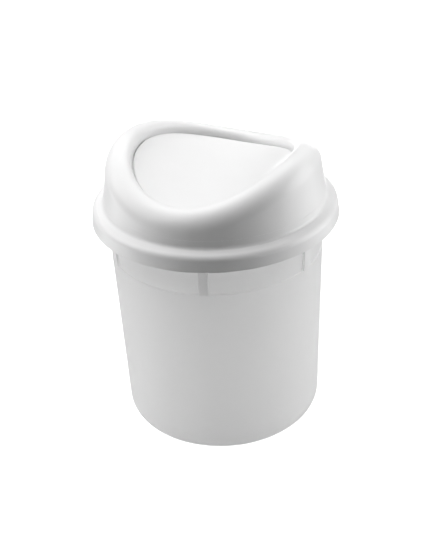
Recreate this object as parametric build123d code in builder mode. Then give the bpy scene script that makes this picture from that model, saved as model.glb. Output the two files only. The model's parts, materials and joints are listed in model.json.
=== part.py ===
"""Round swing-lid wastebasket: a frosted bin body, a lift-off lid collar and a swinging flap.

Frame: origin on the floor under the centre of the base, +Z up, +X along the flap's pivot axis.
All lengths are in millimetres and all angles in degrees.
"""

from build123d import *
import math
import os

os.makedirs("parts", exist_ok=True)

# ---------------------------------------------------------------- driving dimensions
# Bin body
base_radius = 98.1  # outer wall carried down to the floor plane
mouth_radius = 105.5  # outer wall carried up to the rim
rim_height = 233.5
base_round = 18.0
body_wall = 1.8
floor_top = 3.2
foot_ring_outer = 80.0
foot_ring_inner = 74.0
foot_recess = 1.2
band_height = 188.0  # a shallow band runs round the body from here up to the rim
band_recess = 0.7
rim_radius = 116.3  # out-turned rim that carries the lid
rim_lip_depth = 7.0
rim_round = 2.5
rib_count = 6
rib_width = 9.5
rib_proud = 2.0
rib_edge_round = 0.8
rib_turn = -11.3  # the lid may sit at any turn on the round body; this is the turn it has here

# Lid collar
lid_wall = 2.0
skirt_bottom = 221.3
skirt_radius = 120.1
skirt_edge_round = 0.8
shoulder_radius = 118.3  # corner of the shoulder before it is rounded
shoulder_height = 235.0
shoulder_round = 6.6
neck_radius = 108.0
neck_height = 239.0
neck_round = 4.0
crown_draft = 7.9  # lean of the wall above the neck
crown_low = 267.2  # top of the crown at the front and the back
crown_high = 294.7  # top of the crown over the two pivots
crown_round = 19.0
crown_flat = 0.5
crown_points = 12  # points that the saddle line is drawn through
lip_round = 7.0
lip_depth = 14.5  # from the crown's top down to the lip's lower edge
seam_height = 246.0  # the swept crown meets the turned neck here
seam_ledge = 0.12  # the turned neck stands this much proud of the crown at the seam
seam_overlap = 1.0

# Flap
flap_gap = 1.2
flap_wall = 2.0
flap_low = 260.4  # bottom line of the trough's top face
flap_high = 284.0  # the trough's top face at its two ends
flap_rim_depth = 4.6
flap_edge_round = 1.3

# Pivots
pivot_height = 272.0
pin_radius = 2.5
pin_inner_end = 69.0
pin_head_radius = 4.4
pin_head_thickness = 2.0
pin_edge = 0.5
press_interference = 0.02
running_clearance = 0.05
side_clearance = 0.4
head_clearance = 0.3
boss_radius = 5.2
boss_inner_end = 66.0
boss_outer_end = 79.2
bore_inner_end = 68.5
web_thickness = 2.4
web_inner_end = 48.0
web_outer_end = 73.0
stop_thickness = 2.8
stop_half_width = 10.2
stop_top = -6.4  # measured from the pivot axis
stop_bottom = -8.2
lug_thickness = 3.0
lug_radius = 6.5
lug_top_width = 16.0
lug_top = 293.2
gusset_thickness = 2.0
gusset_spacing = 12.5
gusset_foot = 4.0  # below the pivot axis

# ---------------------------------------------------------------- derived dimensions
wall_slope = (mouth_radius - base_radius) / rim_height
draft_slope = math.tan(math.radians(crown_draft))
crown_middle = (crown_high + crown_low) / 2
crown_wave = (crown_high - crown_low) / 2


def wall_radius(height):
    """Outer radius of the bin body's tapered wall."""
    return base_radius + wall_slope * height


def band_radius(height):
    """Outer radius of the shallow band under the rim."""
    return wall_radius(height) - band_recess


def neck_wall_radius(height):
    """Outer radius of the collar's leaning wall."""
    return neck_radius - draft_slope * (height - neck_height)


def crown_corner(turn):
    """Corner of the crown before rounding: a closed saddle-shaped line on the leaning wall."""
    height = crown_middle + crown_wave * math.cos(2 * turn)
    radius = neck_wall_radius(height)
    return (radius * math.cos(turn), radius * math.sin(turn), height)


# The crown's section turns an obtuse corner outside and a square one at the lip.
corner_run = crown_round / math.tan(math.radians((90 + crown_draft) / 2))
crown_width = corner_run + crown_flat + lip_round
corner_end_radius = neck_wall_radius(crown_high)
round_centre = (corner_end_radius - corner_run, crown_high - crown_round)
lip_end_radius = corner_end_radius - crown_width
lip_side_radius = neck_wall_radius(crown_low) - crown_width

flap_half_length = lip_end_radius - flap_gap
flap_half_width = lip_side_radius - flap_gap
flap_rise = flap_high - flap_low
trough_radius = (flap_half_length**2 + flap_rise**2) / (2 * flap_rise)
trough_centre = flap_low + trough_radius

web_start_turn = math.degrees(math.asin(web_inner_end / (trough_radius + flap_wall / 2)))
web_end_turn = math.degrees(math.asin(web_outer_end / (trough_radius + flap_wall / 2)))

lug_face = boss_outer_end + side_clearance
lug_back = lug_face + lug_thickness
lug_middle = lug_face + lug_thickness / 2
stop_face = boss_outer_end - stop_thickness
pin_head_face = lug_back + head_clearance

# ---------------------------------------------------------------- bin body
with BuildPart() as rib:
    with BuildSketch(Plane.XZ):
        with BuildLine():
            Polyline(
                (band_radius(band_height) - body_wall / 2, band_height),
                (band_radius(band_height) + rib_proud, band_height),
                (band_radius(rim_height) + rib_proud, rim_height - body_wall / 2),
                (band_radius(rim_height) - body_wall / 2, rim_height - body_wall / 2),
                close=True,
            )
        make_face()
    extrude(amount=rib_width / 2, both=True)
    rib_front = rib.faces().sort_by(Axis.X)[-1]
    fillet(rib_front.edges().sort_by(Axis.Z)[:-1], rib_edge_round)

with BuildPart() as bin_body:
    with BuildSketch(Plane.XZ):
        with BuildLine():
            skin = FilletPolyline(
                (0, 0),
                (wall_radius(0), 0),
                (wall_radius(band_height), band_height),
                (band_radius(band_height), band_height + band_recess),
                (band_radius(rim_height), rim_height - body_wall),
                (rim_radius - body_wall, rim_height - body_wall),
                (rim_radius - body_wall, rim_height - rim_lip_depth),
                radius=[base_round, 0, 0, rim_round, rim_round],
            )
            offset(skin, amount=body_wall, side=Side.LEFT)
        make_face()
    revolve(axis=Axis.Z)
    with BuildSketch():
        Circle(foot_ring_outer)
    extrude(amount=floor_top)
    with BuildSketch():
        Circle(foot_ring_inner)
    extrude(amount=foot_recess, mode=Mode.SUBTRACT)
    with PolarLocations(0, rib_count, start_angle=rib_turn):
        add(rib.part)

bin_body.part.label = "bin_body"
export_step(bin_body.part, "parts/bin_body.step")

# ---------------------------------------------------------------- lid collar
# The crown ring is one section swept along the saddle line, its section always upright.
with BuildPart() as crown_ring:
    with BuildLine() as corner_line:
        corner_turns = [2 * math.pi * step / crown_points for step in range(crown_points)]
        Spline([crown_corner(turn) for turn in corner_turns], periodic=True)
    upright_guide = corner_line.edge().moved(Location((0, 0, crown_round)))
    with BuildSketch(Plane.XZ) as crown_section:
        with BuildLine():
            skin = FilletPolyline(
                (neck_wall_radius(skirt_bottom), skirt_bottom),
                (corner_end_radius, crown_high),
                (lip_end_radius, crown_high),
                (lip_end_radius, crown_high - lip_depth),
                radius=[crown_round, lip_round],
            )
            offset(skin, amount=lid_wall, side=Side.LEFT)
        make_face()
        lip_corners = crown_section.vertices().filter_by_position(
            Axis.X, lip_end_radius - 0.1, lip_end_radius + lid_wall + 0.1
        )
        fillet(lip_corners.group_by(Axis.Y)[0], skirt_edge_round)
    sweep(path=corner_line.line, binormal=upright_guide)
    split(bisect_by=Plane.XY.offset(seam_height - seam_overlap), keep=Keep.TOP)

with BuildPart() as lid_collar:
    with BuildSketch(Plane.XZ) as skirt_section:
        with BuildLine():
            skin = FilletPolyline(
                (skirt_radius, skirt_bottom),
                (shoulder_radius, shoulder_height),
                (neck_radius + seam_ledge, neck_height),
                (neck_wall_radius(seam_height) + seam_ledge, seam_height),
                radius=[shoulder_round, neck_round],
            )
            offset(skin, amount=lid_wall + 2 * seam_ledge, side=Side.LEFT)
        make_face()
        fillet(skirt_section.vertices().group_by(Axis.Y)[0], skirt_edge_round)
    revolve(axis=Axis.Z)
    add(crown_ring.part)

    # Bearing lug and its two gussets under the crown's end, then the same at the other end.
    with BuildSketch(Plane.YZ.offset(lug_face)):
        with Locations((0, pivot_height)):
            Circle(lug_radius)
        with BuildLine():
            Line((-lug_top_width / 2, lug_top), (lug_top_width / 2, lug_top))
        make_hull()
        with Locations((0, pivot_height)):
            Circle(pin_radius + running_clearance, mode=Mode.SUBTRACT)
    lug = extrude(amount=lug_thickness)
    mirror(lug, about=Plane.YZ)
    for side in (-1, 1):
        with BuildSketch(Plane.XZ.offset(side * gusset_spacing / 2)):
            with BuildLine():
                inside_crown = CenterArc(
                    round_centre, crown_round - lid_wall / 2, crown_draft, 90 - crown_draft
                )
                Polyline(
                    inside_crown @ 1,
                    (lug_middle, lug_top),
                    (lug_middle, pivot_height - gusset_foot),
                    inside_crown @ 0,
                )
            make_face()
        gusset = extrude(amount=gusset_thickness / 2, both=True)
        mirror(gusset, about=Plane.YZ)

lid_collar.part.label = "lid_collar"
export_step(lid_collar.part, "parts/lid_collar.step")

# ---------------------------------------------------------------- swing flap
# The hollow underneath: everything inside the rim and below the plate.
with BuildPart() as flap_hollow:
    with BuildSketch():
        Ellipse(flap_half_length - flap_wall, flap_half_width - flap_wall)
    extrude(amount=crown_high)
    with BuildSketch(Plane.XZ):
        with Locations((0, trough_centre)):
            Circle(trough_radius + flap_wall)
    extrude(amount=mouth_radius, both=True, mode=Mode.SUBTRACT)

with BuildPart() as swing_flap:
    with BuildSketch():
        Ellipse(flap_half_length, flap_half_width)
    extrude(amount=crown_high)
    with BuildSketch(Plane.XZ):
        with Locations((0, trough_centre)):
            Circle(trough_radius + flap_rim_depth)
            Circle(trough_radius, mode=Mode.SUBTRACT)
    extrude(amount=mouth_radius, both=True, mode=Mode.INTERSECT)
    fillet(swing_flap.edges().sort_by(Axis.Z)[-1:], flap_edge_round)
    add(flap_hollow.part, mode=Mode.SUBTRACT)

    # At each end: a web down from the plate, the boss that holds the pin, and the swing stop,
    # whose lower corners meet the collar's lip when the flap is fully open.
    with BuildSketch(Plane.XZ):
        with BuildLine():
            inside_plate = CenterArc(
                (0, trough_centre),
                trough_radius + flap_wall / 2,
                web_start_turn - 90,
                web_end_turn - web_start_turn,
            )
            Polyline(
                inside_plate @ 1,
                (boss_inner_end + boss_radius, pivot_height),
                (boss_inner_end + boss_radius, pivot_height - boss_radius / 2),
                (boss_inner_end, pivot_height - boss_radius / 2),
                inside_plate @ 0,
            )
        make_face()
    web = extrude(amount=web_thickness / 2, both=True)
    with BuildSketch(Plane.YZ.offset(boss_inner_end)):
        with Locations((0, pivot_height)):
            Circle(boss_radius)
    boss = extrude(amount=boss_outer_end - boss_inner_end)
    with BuildSketch(Plane.YZ.offset(stop_face)):
        with Locations((0, pivot_height)):
            Circle(boss_radius)
        with BuildLine():
            Polyline(
                (-stop_half_width, pivot_height + stop_top),
                (-stop_half_width, pivot_height + stop_bottom),
                (stop_half_width, pivot_height + stop_bottom),
                (stop_half_width, pivot_height + stop_top),
            )
        make_hull()
    stop = extrude(amount=stop_thickness)
    mirror([web, boss, stop], about=Plane.YZ)
    with BuildSketch(Plane.YZ.offset(bore_inner_end)):
        with Locations((0, pivot_height)):
            Circle(pin_radius - press_interference)
    pin_bore = extrude(amount=boss_outer_end - bore_inner_end, mode=Mode.SUBTRACT)
    mirror(pin_bore, about=Plane.YZ, mode=Mode.SUBTRACT)

swing_flap.part.label = "swing_flap"
export_step(swing_flap.part, "parts/swing_flap.step")

# ---------------------------------------------------------------- pivot pins
# Headed pins go through the lugs from outside, turn in them, and press into the flap's bosses.
with BuildPart() as pivot_pin_right:
    with BuildSketch(Plane.XZ):
        with BuildLine():
            Polyline(
                (pin_inner_end, pivot_height),
                (pin_inner_end, pivot_height + pin_radius - pin_edge),
                (pin_inner_end + pin_edge, pivot_height + pin_radius),
                (pin_head_face, pivot_height + pin_radius),
                (pin_head_face, pivot_height + pin_head_radius),
                (pin_head_face + pin_head_thickness - pin_edge, pivot_height + pin_head_radius),
                (pin_head_face + pin_head_thickness, pivot_height + pin_head_radius - pin_edge),
                (pin_head_face + pin_head_thickness, pivot_height),
                close=True,
            )
        make_face()
    revolve(axis=Axis((0, 0, pivot_height), (1, 0, 0)))

with BuildPart() as pivot_pin_left:
    mirror(pivot_pin_right.part, about=Plane.YZ)

for pin, name in ((pivot_pin_right, "pivot_pin_right"), (pivot_pin_left, "pivot_pin_left")):
    pin.part.label = name
    export_step(pin.part, f"parts/{name}.step")
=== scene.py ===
"""Looks of the swing-lid wastebasket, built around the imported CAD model. Metres, +Z up."""

import bpy
import json
import math
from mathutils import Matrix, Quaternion, Vector

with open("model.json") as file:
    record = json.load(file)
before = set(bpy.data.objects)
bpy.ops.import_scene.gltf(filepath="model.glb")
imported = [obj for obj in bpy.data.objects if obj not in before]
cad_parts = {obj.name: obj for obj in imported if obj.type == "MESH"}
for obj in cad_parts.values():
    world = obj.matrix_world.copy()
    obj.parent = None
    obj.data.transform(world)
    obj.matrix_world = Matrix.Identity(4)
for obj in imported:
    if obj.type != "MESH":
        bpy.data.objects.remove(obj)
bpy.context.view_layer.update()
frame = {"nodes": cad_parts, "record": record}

# ---------------------------------------------------------------- camera
CAMERA_AZIMUTH = math.radians(26.7)  # round from the front, towards the right pivot
CAMERA_DISTANCE = 1.0286  # along the floor
CAMERA_HEIGHT = 0.7564
CAMERA_ROLL = math.radians(-2.75)
CAMERA_LENS = 80.4  # mm
CAMERA_SENSOR = 36  # mm
AIM_SIDE = 0.0036  # the aim point, to the right of the bin's axis
AIM_HEIGHT = 0.1577

# ---------------------------------------------------------------- materials
PLASTIC_IOR = 1.49
# noise scales, in waves per metre
SHADE_SCALE = 14  # slow drift of the colour
GLOSS_SCALE = 60  # patches of more and less gloss
RIPPLE_SCALE = 45  # slow unevenness of a moulded wall
GRAIN_SCALE = 900  # fine grain of the mould
FINE_DETAIL = 3.0
SLOW_DETAIL = 1.0
NOISE_LOW = 0.3  # noise values from here down count as its low end
NOISE_HIGH = 0.7  # and from here up as its high end
BODY_TRANSLUCENCY = 0.80  # share of the light that each face of the frosted wall passes
RIB_TRANSLUCENCY = 0.56  # the ribs are thicker than the wall round them
LID_TRANSLUCENCY = 0.20
# where the six ribs are, round the axis and above the foot of the band
RIB_STEP = math.radians(60)
RIB_TURN = math.radians(-11.3)
RIB_HALF_WIDTH = 0.0045
RIB_FOOT = 0.188

# ---------------------------------------------------------------- stage
AIM_OF_LIGHTS = Vector((0, 0, 0.15))
LIGHT_DISTANCE = 1.5
SOFTBOX_SIZE = 1.2
FLOOR_REACH = 40.0
FLOOR_SHADE = 0.9
FLOOR_ROUGHNESS = 0.9
FLOOR_GLOW = 0.9  # keeps the floor white where the lights do not reach
WORLD_SHADE = 0.9
UNDER_SIZE = 12.0
UNDER_DROP = 0.02  # the light under the floor is this far below it
UNDER_GLOW = 0.12  # radiance that the pale table sends up at the bin
# name: azimuth from the camera's side towards its right, elevation, power in watts
SOFTBOXES = {
    "back_top": (180, 70, 10.9),
    "back_left_high": (-135, 45, 7.8),
    "back_right_high": (135, 45, 3.0),
    "left_high": (-90, 45, 12.3),
    "right_high": (90, 45, 1.5),
    "left_low": (-90, 15, 2.3),
    "right_low": (90, 15, 18.1),
    "table_left": (-100, -25, 9.5),
    "table_right": (100, -25, 5.2),
    "table_back": (180, -20, 13.5),
    "table_front_left": (-60, -30, 4.1),
    "table_front_right": (60, -30, 2.8),
}


def new_material(name):
    """An empty node material with its Principled shader."""
    material = bpy.data.materials.new(name)
    material.use_nodes = True
    return material, material.node_tree.nodes["Principled BSDF"]


def noise(material, scale, detail=FINE_DETAIL):
    """Noise in the object's own metres."""
    nodes, links = material.node_tree.nodes, material.node_tree.links
    place = nodes.new("ShaderNodeTexCoord")
    texture = nodes.new("ShaderNodeTexNoise")
    texture.inputs["Scale"].default_value = scale
    texture.inputs["Detail"].default_value = detail
    links.new(place.outputs["Object"], texture.inputs["Vector"])
    return texture.outputs["Fac"]


def spread(material, value, low, high):
    """Turns a noise value round 0.5 into a number between low and high."""
    nodes, links = material.node_tree.nodes, material.node_tree.links
    ranged = nodes.new("ShaderNodeMapRange")
    ranged.inputs["From Min"].default_value = NOISE_LOW
    ranged.inputs["From Max"].default_value = NOISE_HIGH
    ranged.inputs["To Min"].default_value = low
    ranged.inputs["To Max"].default_value = high
    links.new(value, ranged.inputs["Value"])
    return ranged.outputs["Result"]


def tint(material, value, first, second):
    """A colour that drifts between two close shades."""
    nodes, links = material.node_tree.nodes, material.node_tree.links
    mix = nodes.new("ShaderNodeMix")
    mix.data_type = "RGBA"
    mix.inputs["A"].default_value = (*first, 1)
    mix.inputs["B"].default_value = (*second, 1)
    links.new(spread(material, value, 0, 1), mix.inputs["Factor"])
    return mix.outputs["Result"]


def relief(material, layers):
    """Bump made of (height, depth in metres) layers, one on top of the other."""
    nodes, links = material.node_tree.nodes, material.node_tree.links
    normal = None
    for height, depth in layers:
        bump = nodes.new("ShaderNodeBump")
        bump.inputs["Distance"].default_value = depth
        links.new(height, bump.inputs["Height"])
        if normal:
            links.new(normal, bump.inputs["Normal"])
        normal = bump.outputs["Normal"]
    return normal


def moulded_plastic(name, shades, gloss, grain, ripple):
    """Injection-moulded plastic: uneven colour and gloss, with grain and ripple depths in metres."""
    material, shader = new_material(name)
    links = material.node_tree.links
    links.new(tint(material, noise(material, SHADE_SCALE), *shades), shader.inputs["Base Color"])
    links.new(spread(material, noise(material, GLOSS_SCALE), *gloss), shader.inputs["Roughness"])
    slow = noise(material, RIPPLE_SCALE, SLOW_DETAIL)
    fine = noise(material, GRAIN_SCALE)
    links.new(relief(material, [(slow, ripple), (fine, grain)]), shader.inputs["Normal"])
    shader.inputs["IOR"].default_value = PLASTIC_IOR
    return material, shader


def translucent(material, shader, share, colour):
    """Lets a share of the light scatter through the wall; the share is a number or a socket."""
    nodes, links = material.node_tree.nodes, material.node_tree.links
    glow = nodes.new("ShaderNodeBsdfTranslucent")
    glow.inputs["Color"].default_value = (*colour, 1)
    mix = nodes.new("ShaderNodeMixShader")
    if isinstance(share, float):
        mix.inputs["Fac"].default_value = share
    else:
        links.new(share, mix.inputs["Fac"])
    links.new(shader.outputs["BSDF"], mix.inputs[1])
    links.new(glow.outputs["BSDF"], mix.inputs[2])
    links.new(mix.outputs["Shader"], nodes["Material Output"].inputs["Surface"])


def calculate(material, operation, first, second=0.0):
    """One step of arithmetic on sockets or numbers."""
    nodes, links = material.node_tree.nodes, material.node_tree.links
    step = nodes.new("ShaderNodeMath")
    step.operation = operation
    for place, value in zip(step.inputs, (first, second)):
        if isinstance(value, float):
            place.default_value = value
        else:
            links.new(value, place)
    return step.outputs["Value"]


def rib_mask(material):
    """1 on the ribs of the band, 0 elsewhere, from the angle round the bin's axis."""
    nodes, links = material.node_tree.nodes, material.node_tree.links
    place = nodes.new("ShaderNodeTexCoord")
    split = nodes.new("ShaderNodeSeparateXYZ")
    links.new(place.outputs["Object"], split.inputs["Vector"])
    x, y, z = (split.outputs[axis] for axis in "XYZ")
    angle = calculate(material, "ARCTAN2", y, x)
    turned = calculate(material, "SUBTRACT", angle, RIB_TURN)
    from_rib = calculate(material, "PINGPONG", turned, RIB_STEP / 2)
    side = calculate(material, "SINE", from_rib)
    x_squared = calculate(material, "MULTIPLY", x, x)
    y_squared = calculate(material, "MULTIPLY", y, y)
    radius = calculate(material, "SQRT", calculate(material, "ADD", x_squared, y_squared))
    across = calculate(material, "MULTIPLY", radius, side)
    on_rib = calculate(material, "LESS_THAN", across, RIB_HALF_WIDTH)
    above = calculate(material, "GREATER_THAN", z, RIB_FOOT)
    return calculate(material, "MULTIPLY", on_rib, above)


def body_material(name):
    """Frosted polypropylene: most of the light scatters through its thin wall."""
    shades = ((0.90, 0.90, 0.90), (0.93, 0.93, 0.93))
    material, shader = moulded_plastic(name, shades, gloss=(0.42, 0.55), grain=2e-5, ripple=3e-5)
    less = calculate(material, "MULTIPLY", rib_mask(material), BODY_TRANSLUCENCY - RIB_TRANSLUCENCY)
    share = calculate(material, "SUBTRACT", BODY_TRANSLUCENCY, less)
    translucent(material, shader, share, (0.96, 0.96, 0.96))
    return material


def satin_material(name):
    """Opaque-looking white polypropylene with a satin gloss, for the collar and the flap."""
    shades = ((0.91, 0.91, 0.91), (0.94, 0.94, 0.94))
    material, shader = moulded_plastic(name, shades, gloss=(0.29, 0.34), grain=2e-6, ripple=1e-5)
    translucent(material, shader, LID_TRANSLUCENCY, (0.9, 0.9, 0.9))
    return material


def pin_material(name):
    """White acetal as moulded, a little warmer and duller than the lid."""
    shades = ((0.78, 0.78, 0.77), (0.82, 0.82, 0.81))
    material, _ = moulded_plastic(name, shades, gloss=(0.32, 0.42), grain=6e-6, ripple=2e-5)
    return material


def dress_nodes():
    """Each CAD node wears the material of its record slot."""
    makers = {
        "frosted_body": body_material,
        "lid_plastic": satin_material,
        "flap_plastic": satin_material,
        "pin_plastic": pin_material,
    }
    materials = {slot: make(slot) for slot, make in makers.items()}
    slots = {part["node"]: part["material_slot"] for part in frame["record"]["subparts"]}
    for node, piece in frame["nodes"].items():
        piece.data.materials.clear()
        piece.data.materials.append(materials[slots[node]])


def make_floor():
    """A plain white floor that the bin does not mirror; the light under it gives its bounce."""
    reach = FLOOR_REACH
    mesh = bpy.data.meshes.new("floor")
    corners = [(-reach, -reach, 0), (reach, -reach, 0), (reach, reach, 0), (-reach, reach, 0)]
    mesh.from_pydata(corners, [], [(0, 1, 2, 3)])
    floor = bpy.data.objects.new("floor", mesh)
    bpy.context.scene.collection.objects.link(floor)
    material, shader = new_material("floor")
    shader.inputs["Base Color"].default_value = (FLOOR_SHADE, FLOOR_SHADE, FLOOR_SHADE, 1)
    shader.inputs["Roughness"].default_value = FLOOR_ROUGHNESS
    shader.inputs["Emission Color"].default_value = (1, 1, 1, 1)
    shader.inputs["Emission Strength"].default_value = FLOOR_GLOW
    floor.data.materials.append(material)
    floor.visible_diffuse = False
    floor.visible_glossy = False
    floor.visible_transmission = False
    floor.visible_shadow = False


def softbox(name, azimuth, elevation, power, size=SOFTBOX_SIZE, distance=LIGHT_DISTANCE):
    """A square area light that faces the bin."""
    light = bpy.data.lights.new(name, "AREA")
    light.shape = "SQUARE"
    light.size = size
    light.energy = power
    holder = bpy.data.objects.new(name, light)
    bpy.context.scene.collection.objects.link(holder)
    turn = math.radians(azimuth) + CAMERA_AZIMUTH
    rise = math.radians(elevation)
    level = math.cos(rise)
    back = Vector((math.sin(turn) * level, -math.cos(turn) * level, math.sin(rise)))
    holder.location = AIM_OF_LIGHTS + back * distance
    holder.rotation_mode = "QUATERNION"
    holder.rotation_quaternion = back.to_track_quat("Z", "Y")


def make_lights():
    """A white world that only the camera sees, soft panels all round, and one under the floor."""
    world = bpy.data.worlds.new("studio")
    bpy.context.scene.world = world
    world.use_nodes = True
    backdrop = world.node_tree.nodes["Background"]
    backdrop.inputs["Color"].default_value = (WORLD_SHADE, WORLD_SHADE, WORLD_SHADE, 1)
    world.cycles_visibility.diffuse = False
    world.cycles_visibility.glossy = False
    world.cycles_visibility.transmission = False
    bpy.context.scene.view_settings.view_transform = "Standard"
    for name, (azimuth, elevation, power) in SOFTBOXES.items():
        softbox(name, azimuth, elevation, power)
    under_power = UNDER_GLOW * math.pi * UNDER_SIZE ** 2
    softbox("under", 0, -90, under_power, UNDER_SIZE, AIM_OF_LIGHTS.z + UNDER_DROP)


def make_camera():
    """The camera looks down at the bin from the front, a little from the right."""
    right = Vector((math.cos(CAMERA_AZIMUTH), math.sin(CAMERA_AZIMUTH), 0))
    back = Vector((math.sin(CAMERA_AZIMUTH), -math.cos(CAMERA_AZIMUTH), 0))
    place = back * CAMERA_DISTANCE + Vector((0, 0, CAMERA_HEIGHT))
    aim = right * AIM_SIDE + Vector((0, 0, AIM_HEIGHT))
    camera = bpy.data.objects.new("camera", bpy.data.cameras.new("camera"))
    bpy.context.scene.collection.objects.link(camera)
    camera.location = place
    camera.rotation_mode = "QUATERNION"
    level = (aim - place).to_track_quat("-Z", "Y")
    camera.rotation_quaternion = level @ Quaternion((0, 0, 1), CAMERA_ROLL)
    camera.data.sensor_width = CAMERA_SENSOR
    camera.data.lens = CAMERA_LENS
    bpy.context.scene.camera = camera


dress_nodes()
make_floor()
make_lights()
make_camera()
